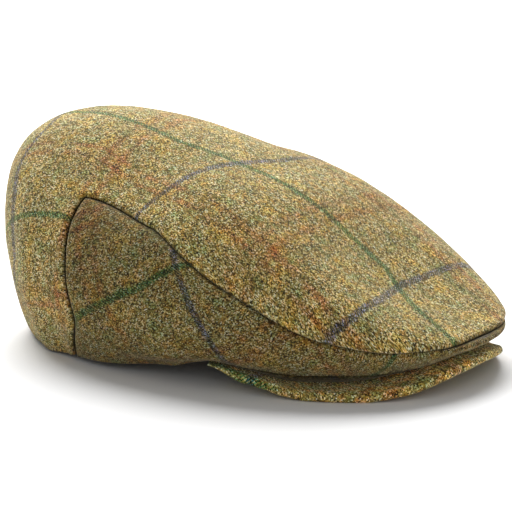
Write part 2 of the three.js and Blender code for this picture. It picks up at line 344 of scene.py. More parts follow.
# %% Grids, normals and waves
def normals_of(points, faces):
    """The normal at every point, from all the faces around it."""
    a, b, c, d = (points[faces[:, k]] for k in range(4))
    n = np.cross(c - a, d - b)
    total = np.zeros_like(points)
    for k in range(4):
        np.add.at(total, faces[:, k], n)
    return total / np.maximum(np.linalg.norm(total, axis=1), 1e-12)[:, None]


def waves(points, scale, octaves, seed):
    """Slow noise at every point, between about -1 and 1."""
    shift = Vector((seed * 7.3, seed * 1.7, seed * 3.1))
    return np.array([noise.fractal(Vector(p) * scale + shift, 1.0, 2.0, octaves) for p in points])


def grid_faces(rows, columns, closed=False):
    """Quads over a grid whose rows run downwards, seen from outside."""
    faces = []
    for r in range(rows - 1):
        for c in range(columns if closed else columns - 1):
            n = (c + 1) % columns
            faces.append([r * columns + c, (r + 1) * columns + c, (r + 1) * columns + n, r * columns + n])
    return np.array(faces)


print("A grid of 3 by 4 points has", len(grid_faces(3, 4)), "faces")

# %% [markdown]
# A cloth that can be seen from below needs a back, a thickness and a soft edge. A Solidify modifier would
# give sharp edges, and the new points would have no place in the cloth. So the back and the rolled hem
# are built here, in a known order, and the coordinates are carried on in the same order.

# %% Give a cloth its thickness
# angles of the three points round the edge of a hem, and their share of the way from face to face
HEM_ROLL = (0.8, math.pi / 2, math.pi - 0.8)
HEM_OVER = np.array([0.3, 0.5, 0.7])


def open_edges(faces):
    """Edges that only one face has, each in the direction of that face."""
    edges = {}
    for face in faces:
        for k in range(4):
            p, q = face[k], face[(k + 1) % 4]
            if p != q:
                edges[(p, q)] = True
    return [edge for edge in edges if (edge[1], edge[0]) not in edges]


def shell(outer, faces, wall, hem=()):
    """A closed cloth between an outer face and an inner one, with a rolled edge along the hem."""
    inner = outer - normals_of(outer, faces) * wall.reshape(-1, 1)
    count = len(outer)
    rim = open_edges(faces)
    points, turned, total = [outer, inner], {}, 2 * count
    hem = set(int(h) for h in hem)
    for p in sorted({v for edge in rim for v in edge if v in hem}):
        middle = (outer[p] + inner[p]) / 2
        half = (outer[p] - inner[p]) / 2
        down = np.array([0, 0, -1.0]) * np.linalg.norm(half)
        arc = [middle + half * math.cos(a) + down * math.sin(a) for a in HEM_ROLL]
        points.append(np.array(arc))
        turned[p] = [p, total, total + 1, total + 2, p + count]
        total += 3
    quads = [list(f) for f in faces] + [[v + count for v in f[::-1]] for f in faces]
    for p, q in rim:
        left, right = turned.get(p, [p, p + count]), turned.get(q, [q, q + count])
        if len(left) == len(right):
            for k in range(len(left) - 1):
                quads.append([right[k], left[k], left[k + 1], right[k + 1]])
        else:
            quads.append([q, p] + left[1:] + right[:0:-1])
    return np.vstack(points), quads


def both_faces(values, hem=()):
    """Values of the outer face, carried on round the rolled hem and over to the inner face."""
    over = np.array([CLOTH_WALL, CLOTH_WALL, 0])
    rolled = values[list(hem)][:, None, :] + HEM_OVER[None, :, None] * over
    return np.vstack([values, values + over, rolled.reshape(-1, 3)])


print("A hem is rolled with", len(HEM_ROLL), "rows of points")

# %% [markdown]
# A piece is placed in the frame, carries its coordinates as two attributes, rides on the cap's only body
# and, where it has one, stands for its solid. One function does this the same way for all of them.

# %% Put a piece into the frame
def make_piece(name, points, faces, node, at, check_at):
    """A mesh object in the frame, riding on the cap and standing for its CAD node."""
    mesh = bpy.data.meshes.new(name)
    placed = np.asarray(points) + np.array([SHIFT, 0, 0])
    clean = [list(dict.fromkeys(int(v) for v in face)) for face in faces]
    mesh.from_pydata(placed.tolist(), [], [face for face in clean if len(face) > 2])
    mesh.validate()
    for polygon in mesh.polygons:
        polygon.use_smooth = True
    for word, values in (("cloth_at", at), ("check_at", check_at)):
        layer = mesh.attributes.new(word, "FLOAT_VECTOR", "POINT")
        layer.data.foreach_set("vector", np.asarray(values, np.float32).ravel())
    piece = bpy.data.objects.new(name, mesh)
    bpy.context.collection.objects.link(piece)
    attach(piece, "root")
    if node:
        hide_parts(*node)
    print(name, "has", len(mesh.polygons), "faces")
    return piece


print("Pieces are moved by", round(SHIFT / MM, 2), "mm along X as they are placed")

# %% [markdown]
# ## The seams
# The long seam parts the top from the sides, and a standing seam runs down behind each ear, with the
# small kink of cloth that was fed by hand. How soft the cloth lies depends on the distance from them, so
# the seams are laid out as a dense line of points that any other point can be measured from.

# %% The line of the seams
KINK_TURN, KINK_AT, KINK_WIDTH = math.radians(1.6), 0.62, 0.13
# points that are measured at one time, to spare memory
AT_A_TIME = 2000
apex, foot = math.radians(APEX_ANGLE), math.radians(HEM_SEAM_ANGLE)


def near_line(points, line):
    """Distance of every point from a dense line of points."""
    best = np.full(len(points), 1.0)
    for start in range(0, len(points), AT_A_TIME):
        part = points[start : start + AT_A_TIME]
        gap = np.linalg.norm(part[:, None, :] - line[None, :, :], axis=2)
        best[start : start + AT_A_TIME] = gap.min(axis=1)
    return best


def standing_seam(down):
    """Angle of the standing seam, so far down from its top."""
    kink = KINK_TURN * np.exp(-(((down - KINK_AT) / KINK_WIDTH) ** 2))
    return apex + (foot - apex) * down - math.radians(SEAM_BOW) * np.sin(math.pi * down) - kink


apex_climb = float(seam_climb(np.array([apex]))[0])
seam_turn = np.linspace(-apex, apex, 700)
seam_points = [crown(seam_turn, seam_climb(seam_turn))]
for side in (-1, 1):
    down = np.linspace(0, 1, 160)
    seam_points.append(crown(side * standing_seam(down), apex_climb * (1 - down)))
SEAM_LINE = np.vstack(seam_points)
print("Length of the top seam:", round(float(walked(seam_points[0])[-1]), 3))

# %% [markdown]
# Behind each standing seam there is a soft upright ridge where the cloth is drawn down, and the crown
# has slow waves as any soft tweed does. They could be simulated, but the shape is so taut that a few
# gentle moves along the normals give the same look and stay exactly repeatable.

# %% Soft relief shared by the crown's panels
# height, scale and seed of two waves
SLOW_WAVES = ((0.9 * MM, 16, 1), (0.35 * MM, 60, 2))
# the ridge's angle from the front and its width in degrees, and the shallower hollow in front of it
RIDGE_ANGLE, RIDGE_HEIGHT, RIDGE_WIDTH = 125.0, 1.5 * MM, 4.5
HOLLOW_TURN, HOLLOW_SHARE = 10, 0.6


def bump_at(turned, angle):
    """A soft bump of height 1 at an angle."""
    return np.exp(-(((turned - angle) / RIDGE_WIDTH) ** 2))


def relief(angle, climb, point):
    """How far the cloth stands out from the plain crown."""
    turned = np.degrees(np.abs(np.arctan2(np.sin(angle), np.cos(angle))))
    slow = sum(height * waves(point, scale, 2, seed) for height, scale, seed in SLOW_WAVES)
    ridge = bump_at(turned, RIDGE_ANGLE) - HOLLOW_SHARE * bump_at(turned, RIDGE_ANGLE - HOLLOW_TURN)
    low_down = smooth(0.5 - climb, 0, 0.2)
    return slow * smooth(point[:, 2], 4 * MM, 30 * MM) + RIDGE_HEIGHT * ridge * low_down


ridge_foot = crown(np.radians([RIDGE_ANGLE]), np.array([0.2]))
ridge_stands = relief(np.radians([RIDGE_ANGLE]), np.array([0.2]), ridge_foot)
print("The ridge stands out by", round(float(ridge_stands[0]) / MM, 2), "mm")

# %% [markdown]
# ## The top cloth
# One piece of cloth covers the top and falls down the back to the hem. Rings of points spread from the
# middle of the top out to the seam, closer together near the seam where the cloth rolls over. Behind
# the two standing seams the same rings run on down to the hem.

# %% Rings of the top cloth
# columns crowd towards the standing seams, and rings lie closer from this share of the way on
FRONT_COLUMNS, BACK_COLUMNS, CROWDING = 224, 132, 0.09
FINE_FROM = 0.92
shares = np.concatenate([np.linspace(0, FINE_FROM, 44)[1:], np.linspace(FINE_FROM, 1, 17)[1:]])
u = np.linspace(0, 1, BACK_COLUMNS + 1)
back_u = u - CROWDING * np.sin(2 * math.pi * u)
front_angles = np.linspace(-apex, apex, FRONT_COLUMNS + 1)[:-1]
back_angles = apex + (2 * math.pi - 2 * apex) * back_u[:-1]
ring_angles = np.concatenate([front_angles, back_angles])
ring_edge = seam_climb(np.where(np.abs(ring_angles) <= apex, ring_angles, apex))
ring_edge = np.where(np.abs(ring_angles) <= apex, ring_edge, apex_climb)

angles = [np.zeros(1)]
climbs = [np.ones(1)]
for share in shares:
    angles.append(ring_angles)
    climbs.append(1 + (ring_edge - 1) * share)
columns = len(ring_angles)
faces = [[0, 1 + c, 1 + (c + 1) % columns, 0] for c in range(columns)]
faces += (grid_faces(len(shares), columns, closed=True) + 1).tolist()
print("The rings have", len(faces), "faces")

# %% [markdown]
# The fall behind starts on the last ring, between the two standing seams, and goes down to the hem. It
# shares that ring's points, so that the cloth runs over the back without a break.

# %% The fall behind
FALL_ROWS = 64
last_ring = 1 + (len(shares) - 1) * columns
above = [last_ring + (FRONT_COLUMNS + i) % columns for i in range(BACK_COLUMNS + 1)]
total = 1 + len(shares) * columns
for row in range(1, FALL_ROWS + 1):
    down = row / FALL_ROWS
    edge = float(standing_seam(down))
    angles.append(edge + (2 * math.pi - 2 * edge) * back_u)
    climbs.append(np.full(BACK_COLUMNS + 1, apex_climb * (1 - down)))
    below = list(range(total, total + BACK_COLUMNS + 1))
    faces += [[above[i], below[i], below[i + 1], above[i + 1]] for i in range(BACK_COLUMNS)]
    above = below
    total += BACK_COLUMNS + 1
top_hem = above
top_angle, top_climb = np.concatenate(angles), np.concatenate(climbs)
faces = np.array(faces)
print("With the fall behind there are", len(faces), "faces")

# %% [markdown]
# At the seam the top cloth rolls over and tucks in: its edge goes down quickly, while the cloth just
# above it stands a little proud. The third coordinate is the shade of the seam, which darkens the fold.

# %% Roll of the top cloth and its piece
ROLL_DEEP, ROLL_NARROW, ROLL_SHARP = 1.1 * MM, 0.75 * MM, 1.6
ROLL_PROUD, PROUD_AT, PROUD_BROAD = 0.4 * MM, 3 * MM, 2.6 * MM
TOP_SHADE, HEM_SOFT, HEM_CLIMB = 0.55 * MM, 2 * MM, 0.2
HEM_THICKER, TOP_HEM_BAND = 0.9, (0.07, 0.1)
top_point = crown(top_angle, top_climb)
top_normal = normals_of(top_point, faces)
from_seam = near_line(top_point, SEAM_LINE)
roll = ROLL_PROUD * np.exp(-(((from_seam - PROUD_AT) / PROUD_BROAD) ** 2))
roll -= ROLL_DEEP * np.exp(-((from_seam / ROLL_NARROW) ** ROLL_SHARP))
moved = top_point + top_normal * (relief(top_angle, top_climb, top_point) + roll)[:, None]
moved[:, 2] += CLOTH_WALL * np.exp(-top_point[:, 2] / HEM_SOFT) * (top_climb < HEM_CLIMB)
wall = CLOTH_WALL * (1 + HEM_THICKER * (1 - smooth(top_climb, *TOP_HEM_BAND)))
points, quads = shell(moved, faces, wall, hem=top_hem)
s, w = top_cloth_at(top_angle, top_climb, top_point)
shade = np.exp(-((from_seam / TOP_SHADE) ** 2))
check_s, check_w = top_check_at(s, w)
at = both_faces(np.stack([s, w, shade], 1), sorted(top_hem))
check_at = both_faces(np.stack([check_s, check_w, shade], 1), sorted(top_hem))
top_cloth = make_piece("top_cloth", points, quads, ["top_panel"], at, check_at)

# %% [markdown]
# ## The side cloths
# Each side panel is cut separately, so its check doesn't run on from the top's. Its threads lie nearly
# along the panel behind and turn upright towards the front. A table says how they lean, and adding up
# small steps along the panel gives the distances along and across the cloth.

# %% Threads of the side cloths
# angle from the front, then the lean of the threads against the way along the panel, in degrees
SIDE_GRAIN = [(0, 80), (18, 80), (52, 25), (130, 25)]
SIDE_STEPS = 400
side_turn = np.radians(np.linspace(0, 130, SIDE_STEPS))
side_line = oval(RINGS[1], side_turn, np.zeros(SIDE_STEPS))
side_lean = np.radians(read(SIDE_GRAIN, 1, side_turn))
side_step = np.concatenate([[0], np.linalg.norm(np.diff(side_line, axis=0), axis=1)])
side_along = -np.cumsum(side_step * np.cos(side_lean))
side_across = np.cumsum(side_step * np.sin(side_lean))
level = np.searchsorted(side_turn, math.radians(90))
way_there = side_step[: level + 1].sum()
side_along += -way_there * math.cos(side_lean[-1]) - side_along[level]
side_across += way_there * math.sin(side_lean[-1]) - side_across[level]
side_pattern = (side_lean, side_along, side_across)
print("Way along a side to the ear:", round(float(way_there), 3))

# %% [markdown]
# A side cloth fills the space from the seam to the hem and thins to a strip less than a finger wide at
# the front. It is a grid: its rows run down from the seam, and its columns forward from behind. Rows are
# closest together near the seam and near the hem, where the cloth bends most.

# %% Grid of a side cloth
SIDE_COLUMNS, SIDE_CROWDING = 208, 0.05
side_shares = np.concatenate(
    [np.linspace(0, 0.16, 13), np.linspace(0.16, 0.9, 34)[1:], np.linspace(0.9, 1, 9)[1:]]
)


def side_grid(side):
    """Angle, climb, place and faces of the points of a side cloth."""
    v = np.linspace(0, 1, SIDE_COLUMNS + 1)
    v = v - SIDE_CROWDING * np.sin(2 * math.pi * v)
    angle = np.concatenate([float(standing_seam(down)) * (1 - v) for down in side_shares])
    climb = seam_climb(angle.clip(0, apex)) * (1 - np.repeat(side_shares, SIDE_COLUMNS + 1))
    faces = grid_faces(len(side_shares), SIDE_COLUMNS + 1)
    return angle, climb, crown(side * angle, climb), faces[:, ::-1] if side > 0 else faces


def climbed(rows):
    """Height of the hem, and from there the way up over the cloth, for rows that run downwards."""
    way = np.linalg.norm(np.diff(rows[::-1], axis=0), axis=2).cumsum(axis=0)
    way = np.vstack([np.zeros((1, rows.shape[1])), way])[::-1]
    return (way + rows[-1, :, 2]).ravel()


print("Rows of a side cloth:", len(side_shares))

# %% [markdown]
# At its upper edge a side cloth dips, because the top cloth is rolled over it. Below the dip it is a
# little full, and beside the end of the peak the hem curls in. The check drifts a little where the
# cloth was pulled, so its place differs from the plain place in the cloth.

# %% Lie and check of a side cloth
DIP_DEEP, DIP_NARROW = 1.9 * MM, 1.3 * MM
PUFF_HIGH, PUFF_AT, PUFF_BROAD = 0.3 * MM, 6 * MM, 4 * MM
CURL_DEEP, CURL_ANGLE, CURL_WIDTH, CURL_BAND = 4.5 * MM, 88, 9, (0.02, 0.13)
# the check's slow slope along the panel, its rise over the front and its small dent near the ear
DRIFT_SLOPE, DRIFT_FROM = 0.08, -117 * MM
DRIFT_FRONT, FRONT_STARTS, FRONT_ENDS = 8 * MM, 150 * MM, 175 * MM
DRIFT_EAR, EAR_AT, EAR_WIDTH = 6 * MM, 88 * MM, 15 * MM


def side_lie(angle, climb, point, gap):
    """How far a side cloth stands out from the crown's plain shape, beyond the relief of all cloths."""
    dip = DIP_DEEP * np.exp(-((gap / DIP_NARROW) ** ROLL_SHARP))
    puff = PUFF_HIGH * np.exp(-(((gap - PUFF_AT) / PUFF_BROAD) ** 2))
    puff = puff * smooth(point[:, 2], 12 * MM, 30 * MM)
    at_curl = np.exp(-(((np.degrees(angle) - CURL_ANGLE) / CURL_WIDTH) ** 2))
    return puff - dip - CURL_DEEP * at_curl * (1 - smooth(climb, *CURL_BAND))


def side_places(angle, point, shade):
    """Places of the points of a side cloth in the cloth, and in the check."""
    grain, base_along, base_across = (np.interp(angle, side_turn, row) for row in side_pattern)
    rise = climbed(point.reshape(len(side_shares), -1, 3))
    along = base_along + rise * np.sin(grain)
    across = base_across + rise * np.cos(grain)
    drawn = across - DRIFT_SLOPE * (along - DRIFT_FROM)
    drawn += DRIFT_FRONT * smooth(across, FRONT_STARTS, FRONT_ENDS)
    drawn -= DRIFT_EAR * np.exp(-(((across - EAR_AT) / EAR_WIDTH) ** 2))
    return np.stack([along, across, shade], 1), np.stack([along, drawn, shade], 1)


print("The upper edge of a side cloth dips by", round(DIP_DEEP / MM, 1), "mm")

# %% [markdown]
# The two side cloths are made by one function, once for each side.

# %% Side cloths
SIDE_SHADE, SIDE_THICKER, SIDE_HEM_BAND = 0.85 * MM, 0.7, (0.05, 0.08)
SIDE_LIFT, LIFT_FALL = 0.9 * MM, 60


def side_cloth(side):
    """The side cloth on the right with side -1, and on the left with side 1."""
    angle, climb, point, faces = side_grid(side)
    gap = near_line(point, SEAM_LINE)
    stands = relief(angle, climb, point) + side_lie(angle, climb, point, gap)
    moved = point + normals_of(point, faces) * stands[:, None]
    moved[:, 2] += SIDE_LIFT * np.exp(-climb * LIFT_FALL) * (np.degrees(angle) < APEX_ANGLE)
    wall = CLOTH_WALL * (1 + SIDE_THICKER * (1 - smooth(climb, *SIDE_HEM_BAND)))
    hem = range(len(point) - SIDE_COLUMNS - 1, len(point))
    points, quads = shell(moved, faces, wall, hem=hem)
    at, check_at = side_places(angle, point, np.exp(-((gap / SIDE_SHADE) ** 2)))
    word = "left" if side > 0 else "right"
    return make_piece(
        f"side_cloth_{word}", points, quads, [f"side_panel_{word}"],
        both_faces(at, hem), both_faces(check_at, hem),
    )


side_right = side_cloth(-1)
side_left = side_cloth(1)

# %% [markdown]
# ## The cloth turned under
# Below the front strip the cloth is turned under and sewn down on the peak, which closes the dark slot
# that shows between them. It is a narrow band from the hem back to the upper face of the peak, and its
# colour is darkened all over with painted shade.

# %% Turned-under cloth
UNDER_ANGLE, UNDER_COLUMNS, UNDER_ROWS = 73, 200, 9
# UNDER_SHADE above 1 paints a deep shade over the whole band, where the slot is in shadow
UNDER_WIDTH, UNDER_WALL, UNDER_SHADE = 13 * MM, 1 * MM, 1.2
# how far the band starts inside and above the hem, and how far above the peak it ends
UNDER_START, UNDER_LIFT, UNDER_CLEAR = 0.6 * MM, 1.0 * MM, 0.4 * MM
UNDER_SINK, UNDER_SAG, FADING_POWER = 0.7 * MM, 0.7, 2.4
half_peak = math.radians(PEAK_HALF_ANGLE)


def fading(angle, end):
    """1 in front, falling slowly and then quickly to 0 at an angle to both sides."""
    return np.clip(1 - (np.abs(angle) / end) ** FADING_POWER, 0, 1)


def hem_on_table(angle):
    """The hem seen from above, and the way straight out from each of its points."""
    flat = hem_point(angle) * np.array([1, 1, 0])
    return flat, flat / np.linalg.norm(flat, axis=1)[:, None]


turn = np.radians(np.linspace(-UNDER_ANGLE, UNDER_ANGLE, UNDER_COLUMNS))
edge = hem_point(turn)[:, 2]
flat, out = hem_on_table(turn)
rows = []
for share in np.linspace(0, 1, UNDER_ROWS):
    inward = UNDER_START + share * UNDER_WIDTH * np.sqrt(fading(turn, half_peak))
    low = peak_height(turn, PEAK_LIP + inward, True) + UNDER_CLEAR
    height = edge + UNDER_LIFT + (low - edge - UNDER_SINK) * share**UNDER_SAG
    place = flat - out * inward[:, None]
    place[:, 2] = np.maximum(height, low)
    rows.append(place)
under = np.concatenate(rows)
under_faces = grid_faces(UNDER_ROWS, UNDER_COLUMNS)[:, ::-1]
points, quads = shell(under, under_faces, np.full(len(under), UNDER_WALL))
at = both_faces(np.stack([under[:, 0], under[:, 1], np.full(len(under), UNDER_SHADE)], 1))
strip_under = make_piece("strip_under", points, quads, None, at, at)

# %% [markdown]
# ## The peak
# The peak is a stiff board with cloth drawn tight over both faces, so its edge is a smooth round roll.
# A bevelled plate would look like a board. A closed section with a half-round lip, swept round the front,
# looks like covered board. Towards its ends the section thins and tucks up under the crown.

# %% Sizes along the peak
PEAK_COLUMNS = 200
THIN_FROM, UNDER_FROM, LIP_END, TUCKED_END = (math.radians(angle) for angle in (69, 60, 80, 77))
LIP_TIP, END_THINNER, PADDING = 0.2, 0.8, 0.3 * MM
UNDER_LEAST, UNDER_MORE = 1 * MM, 6 * MM
sweep = np.linspace(-TUCKED_END, TUCKED_END, PEAK_COLUMNS)
full_radius = PEAK_THICKNESS / 2 + PADDING
radius = full_radius * (1 - END_THINNER * smooth(np.abs(sweep), THIN_FROM, TUCKED_END))
lip_reach = PEAK_LIP * ((1 + LIP_TIP) * np.sqrt(fading(sweep, LIP_END)) - LIP_TIP)
under_reach = PEAK_UNDER * fading(sweep, half_peak) + UNDER_LEAST
under_reach += UNDER_MORE * smooth(np.abs(sweep), UNDER_FROM, TUCKED_END)
print("Lip in front and at its ends in mm:", (lip_reach[[PEAK_COLUMNS // 2, 0]] / MM).round(1).tolist())

# %% [markdown]
# The section is walked once round: forward over the upper face, round the lip, and back below.

# %% Sections of the peak
UNDER_STEPS, LIP_STEPS, BEND_STEPS = 22, 10, 13
sweep_flat, sweep_out = hem_on_table(sweep)


def peak_row(inward, up):
    """Points along the whole peak, on its upper face with up 1 and on its lower one with up -1."""
    place = sweep_flat - sweep_out * (inward - PEAK_LIP)[:, None]
    middle = (peak_height(sweep, inward, True) + peak_height(sweep, inward, False)) / 2
    place[:, 2] = middle + full_radius - radius + radius * up
    return place


ways = [PEAK_LIP - share * under_reach for share in np.linspace(-1, 0, UNDER_STEPS)]
ways += [PEAK_LIP - (lip_reach - radius) * share for share in np.linspace(0, 1, LIP_STEPS)[1:]]
sections = [peak_row(way, 1) for way in ways]
for bend in np.radians(np.linspace(90, -90, BEND_STEPS)[1:-1]):
    sections.append(peak_row(PEAK_LIP - (lip_reach - radius) - radius * math.cos(bend), math.sin(bend)))
sections += [peak_row(way, -1) for way in ways[::-1]]
around = len(sections)
peak_grid = np.stack(sections, 1)
print("Points round one section:", around)

# %% [markdown]
# The sections are joined to a closed skin. Slow small waves keep it from looking moulded. The weave
# follows the skin round the lip, while the check lies in plain X and Y, as on cloth seen from above.

# %% Peak piece
PEAK_WAVE, PEAK_WAVE_SCALE, PEAK_SEED = 0.3 * MM, 70, 5
peak_points = peak_grid.reshape(-1, 3)
quads = np.roll(grid_faces(PEAK_COLUMNS, around, closed=True)[:, ::-1], 1, axis=1)
peak_slow = PEAK_WAVE * waves(peak_points, PEAK_WAVE_SCALE, 2, PEAK_SEED)
peak_points = peak_points + normals_of(peak_points, quads) * peak_slow[:, None]
peak_points[:, 2] = np.maximum(peak_points[:, 2], 0)
ends = [list(range(around))[::-1], list(range((PEAK_COLUMNS - 1) * around, PEAK_COLUMNS * around))]
section_walk = np.linalg.norm(np.diff(peak_grid, axis=1), axis=2).cumsum(axis=1)
section_walk = np.hstack([np.zeros((PEAK_COLUMNS, 1)), section_walk])
section_walk -= section_walk[:, [around // 2]]
sweep_walk = np.repeat(walked(hem_point(sweep))[:, None], around, axis=1)
at = np.stack([section_walk, sweep_walk, np.zeros_like(sweep_walk)], 2).reshape(-1, 3)
check_at = peak_points * np.array([1, 1, 0])
peak_cloth = make_piece(
    "peak_cloth", peak_points, quads.tolist() + ends, ["peak"], at, check_at
)

# %% [markdown]
# The crown is cut from four pieces of cloth and steamed to its shape, so no piece is much larger or
# smaller than its flat cut. The area of each is printed beside the size of that cut. The peak isn't a
# sheet: it is a board with cloth glued tight round it.

def area_of(piece):
    """Area of both faces of a cloth, with its edges."""
    return sum(face.area for face in piece.data.polygons)


for piece, flat, area, held, lies_on in (
    (top_cloth, (0.31, 0.36), 0.0705, "stretched", ["side_cloth_right", "side_cloth_left"]),
    (side_right, (0.11, 0.27), 0.0104, "stretched", ["peak_cloth"]),
    (side_left, (0.11, 0.27), 0.0104, "stretched", ["peak_cloth"]),
    (strip_under, (0.014, 0.27), 0.0030, "folded", ["peak_cloth"]),
):
    print(piece.name, "both faces:", round(area_of(piece), 4), "square metres, cut:", area)

# %% [markdown]
# ## The tweed
# A tweed yarn is spun from many colours, so close up the cloth is salt and pepper. Over it lies an
# overcheck: thin lines of coloured yarn at a wide spacing. All panels share one cloth, so it is one node
# group. Groups are built from many small nodes, and a few helpers keep that short to write.

# %% Node helpers
def socket(group, name, kind, way="INPUT", value=None):
    """A named input or output of a group."""
    made = group.interface.new_socket(name=name, in_out=way, socket_type=kind)
    if value is not None:
        made.default_value = value
    return made


class Wires:
    """Small helper that adds nodes to a tree and joins them up."""

    def __init__(self, tree):
        self.tree = tree

    def add(self, kind, **settings):
        node = self.tree.nodes.new(kind)
        for key, value in settings.items():
            setattr(node, key, value)
        return node

    def feed(self, node, name, value):
        target = node.inputs[name]
        if isinstance(value, bpy.types.NodeSocket):
            self.tree.links.new(value, target)
        else:
            target.default_value = value
        return node

    def math(self, operation, a, b=0.0, clamp=False):
        node = self.add("ShaderNodeMath", operation=operation, use_clamp=clamp)
        self.feed(node, 0, a)
        if len(node.inputs) > 1:
            self.feed(node, 1, b)
        return node.outputs[0]

    def mix(self, factor, a, b, blend="MIX"):
        node = self.add("ShaderNodeMix", data_type="RGBA", blend_type=blend)
        self.feed(node, 0, factor)
        self.feed(node, 6, a)
        self.feed(node, 7, b)
        return node.outputs[2]

    def plus(self, a, share_a, b, share_b):
        """The sum of two values, each times its own share."""
        return self.math("ADD", self.math("MULTIPLY", a, share_a), self.math("MULTIPLY", b, share_b))

    def ramp(self, value, stops):
        node = self.add("ShaderNodeValToRGB")
        while len(node.color_ramp.elements) < len(stops):
            node.color_ramp.elements.new(0.5)
        for element, (place, colour) in zip(node.color_ramp.elements, stops):
            element.position = place
            element.color = (*colour, 1)
        self.feed(node, 0, value)
        return node.outputs[0]

    def scaled(self, vector, amount):
        node = self.add("ShaderNodeVectorMath", operation="SCALE")
        self.feed(node, 0, vector)
        self.feed(node, "Scale", amount)
        return node.outputs[0]

    def noise(self, vector, scale, detail=2.0, rough=0.5):
        node = self.add("ShaderNodeTexNoise")
        self.feed(node, "Vector", vector)
        self.feed(node, "Scale", scale)
        self.feed(node, "Detail", detail)
        self.feed(node, "Roughness", rough)
        return node.outputs[0]


print("Helpers for nodes:", ", ".join(word for word in vars(Wires) if word[0] != "_"))

# %% [markdown]
# The overcheck runs both ways, and each way has a single bright line and, halfway to the next one, a
# soft pair of rust lines. One group draws these for one way, from the distance across the lines. Placed
# twice, it makes the check. The edges are soft, because a woven line has no sharp edge.

# %% Overcheck lines group
# a line fades from its full colour to nothing between these shares of its half width
EDGE_OUT, EDGE_IN = 1.35, 0.55
PAIR_SPREAD, PAIR_WIDER, PAIR_HALO = 10 * MM, 1.1, 13 * MM


def overcheck_group():
    """Masks of the coloured lines that run one way: a single line, and a soft pair halfway between."""
    group = bpy.data.node_groups.new("Overcheck lines", "ShaderNodeTree")
    socket(group, "Distance", "NodeSocketFloat")
    socket(group, "Line At", "NodeSocketFloat")
    socket(group, "Line Width", "NodeSocketFloat", value=3 * MM)
    socket(group, "Repeat", "NodeSocketFloat", value=CHECK_REPEAT)
    socket(group, "Pair Spread", "NodeSocketFloat", value=PAIR_SPREAD)
    socket(group, "Single", "NodeSocketFloat", "OUTPUT")
    socket(group, "Pair", "NodeSocketFloat", "OUTPUT")
    socket(group, "Around Pair", "NodeSocketFloat", "OUTPUT")
    wires = Wires(group)
    start = wires.add("NodeGroupInput").outputs
    end = wires.add("NodeGroupOutput")
    away = wires.math("SUBTRACT", start["Distance"], start["Line At"])
    half = wires.math("MULTIPLY", start["Repeat"], 0.5)
    near = wires.math("PINGPONG", away, half)
    half_width = wires.math("MULTIPLY", start["Line Width"], 0.5)

    def line(distance, width):
        node = wires.add("ShaderNodeMapRange", interpolation_type="SMOOTHSTEP")
        wires.feed(node, "Value", distance)
        wires.feed(node, "From Min", wires.math("MULTIPLY", width, EDGE_OUT))
        wires.feed(node, "From Max", wires.math("MULTIPLY", width, EDGE_IN))
        return node.outputs[0]

    single = line(near, half_width)
    from_pair = wires.math("ABSOLUTE", wires.math("SUBTRACT", half, near))
    half_spread = wires.math("MULTIPLY", start["Pair Spread"], 0.5)
    to_line = wires.math("ABSOLUTE", wires.math("SUBTRACT", from_pair, half_spread))
    pair = line(to_line, wires.math("MULTIPLY", half_width, PAIR_WIDER))
    wires.feed(end, "Single", single)
    wires.feed(end, "Pair", pair)
    wires.feed(end, "Around Pair", line(from_pair, PAIR_HALO))
    return group


OVERCHECK = overcheck_group()
print("Built the group", OVERCHECK.name)

# %% [markdown]
# The ground is a fine broken twill. Each visible stitch is about 0.7 by 0.5 mm, so the coordinates are
# snapped to cells of that size, and every cell gets two draws of its own: how light its yarn is, and
# which of the spun-in colours shows. A fine noise stands for the loose fibres between them.

# %% Yarns of the ground
STITCH, FIBRE_SCALE = (0.7 * MM, 0.5 * MM, 1.0), 900.0
FLECK_SEED, HUE_SEED = 1000.0, 1700.0
FLECK_SHARE, FIBRE_SHARE, HUE_SHARE = 0.55, 0.45, 0.55
YARN_LIGHTNESS = [
    (0.24, (0.022, 0.018, 0.010)),
    (0.36, (0.090, 0.068, 0.024)),
    (0.47, (0.205, 0.152, 0.048)),
    (0.57, (0.310, 0.238, 0.076)),
    (0.67, (0.450, 0.372, 0.165)),
    (0.80, (0.760, 0.720, 0.560)),
]
YARN_HUE = [
    (0.40, (1.0, 1.0, 1.0)),
    (0.50, (1.12, 0.92, 0.50)),
    (0.68, (1.16, 0.78, 0.46)),
    (0.76, (0.70, 0.88, 0.70)),
    (0.94, (0.80, 0.90, 0.98)),
]


def yarns(wires, flat):
    """Colour of the ground, and the draws and the fibres that it is made from."""
    cells = wires.add("ShaderNodeVectorMath", operation="SNAP")
    wires.feed(cells, 0, flat)
    wires.feed(cells, 1, STITCH)

    def yarn_draw(seed):
        node = wires.add("ShaderNodeTexWhiteNoise", noise_dimensions="2D")
        wires.feed(node, "Vector", wires.scaled(cells.outputs[0], seed))
        return node.outputs["Value"]

    fleck, hue_draw = yarn_draw(FLECK_SEED), yarn_draw(HUE_SEED)
    fibres = wires.noise(flat, FIBRE_SCALE, 2.0, 0.7)
    speck = wires.plus(fleck, FLECK_SHARE, fibres, FIBRE_SHARE)
    ground = wires.ramp(speck, YARN_LIGHTNESS)
    ground = wires.mix(HUE_SHARE, ground, wires.ramp(hue_draw, YARN_HUE), "MULTIPLY")
    return ground, fleck, hue_draw, fibres


print("Colours spun into a yarn:", len(YARN_LIGHTNESS) + len(YARN_HUE))

# %% [markdown]
# Dyed wool isn't even: whole patches lean to olive or to brown, small ones to rust, and slow clouds make
# the cloth lighter and darker. Three noises of different sizes do this over the yarns.

